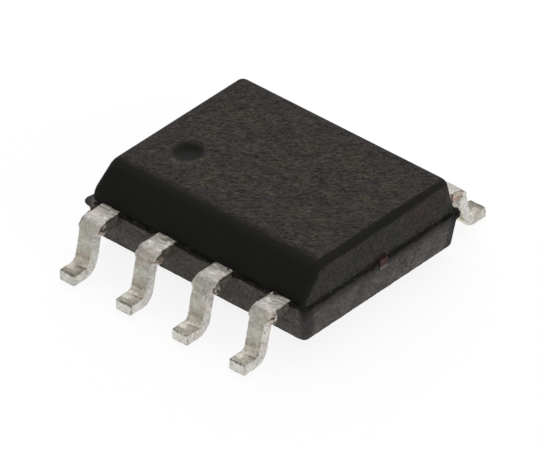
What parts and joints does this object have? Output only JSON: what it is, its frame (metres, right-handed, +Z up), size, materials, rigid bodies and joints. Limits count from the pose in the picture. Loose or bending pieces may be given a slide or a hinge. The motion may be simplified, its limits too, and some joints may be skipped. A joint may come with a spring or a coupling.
{
  "type": "microcontroller chip",
  "caption": "Small-outline surface-mount chip: dark moulded body with one bevelled long edge and a corner dimple, and tinned gull-wing leads along both long sides.",
  "frame": {"origin": "centre of the footprint on the seating plane, under the solder feet", "axes": "+X along the lead rows from pin 1 to pin 4, +Y from the row of pins 1 to 4 across to the row of pins 5 to 8, +Z up out of the circuit board"},
  "size_m": [0.005, 0.006, 0.0015],
  "materials": {
    "mould_compound": "filled epoxy, matte top and end faces, smoother bevel",
    "tin_plate": "matte tin plating",
    "copper_alloy": "bare copper alloy",
    "die_adhesive": "cured silver-filled epoxy",
    "silicon": "polished silicon with a patterned face",
    "gold_wire": "bright gold"
  },
  "bodies": {
    "root": {"moulded_body": "mould_compound", "die_paddle": "copper_alloy", "die_attach": "die_adhesive", "silicon_die": "silicon", "lead_1": "tin_plate", "lead_2": "tin_plate", "lead_3": "tin_plate", "lead_4": "tin_plate", "lead_5": "tin_plate", "lead_6": "tin_plate", "lead_7": "tin_plate", "lead_8": "tin_plate", "bond_wire_1": "gold_wire", "bond_wire_2": "gold_wire", "bond_wire_3": "gold_wire", "bond_wire_4": "gold_wire", "bond_wire_5": "gold_wire", "bond_wire_6": "gold_wire", "bond_wire_7": "gold_wire", "bond_wire_8": "gold_wire"}
  },
  "joints": []
}
